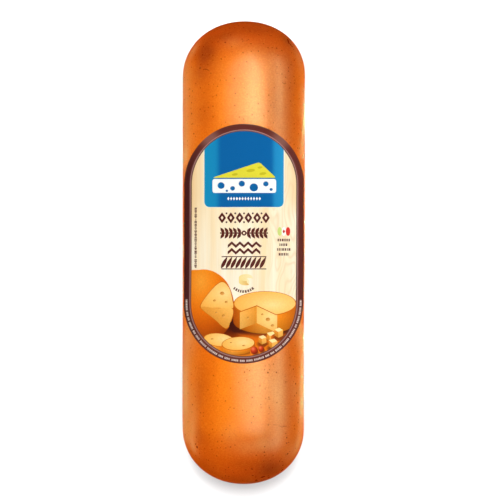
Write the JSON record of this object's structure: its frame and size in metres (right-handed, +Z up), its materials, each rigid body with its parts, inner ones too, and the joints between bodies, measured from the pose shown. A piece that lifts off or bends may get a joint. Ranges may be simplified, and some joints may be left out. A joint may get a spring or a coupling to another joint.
{
  "type": "provolone cheese",
  "caption": "Whole smoked provolone: a long round log of cheese with domed ends, a bare orange-brown smoked rind and a printed label wrapped along its front, lying on its side.",
  "frame": {"origin": "on the resting face, below the middle of the log's bounding box", "axes": "+Z up, through the middle of the label; +Y along the log towards the end the label is nearer to; +X across, to the right of the label seen from above with +Y up the page"},
  "size_m": [0.1204, 0.4544, 0.1196],
  "materials": {
    "smoked_rind": "satin, smoke-browned and faintly pitted, darker at both ends",
    "printed_label": "satin print: dark brown border, cream wood-grain field, blue panel and a plain picture of cut cheese"
  },
  "bodies": {
    "root": {"cheese_log": "smoked_rind", "label": "printed_label"}
  },
  "joints": []
}
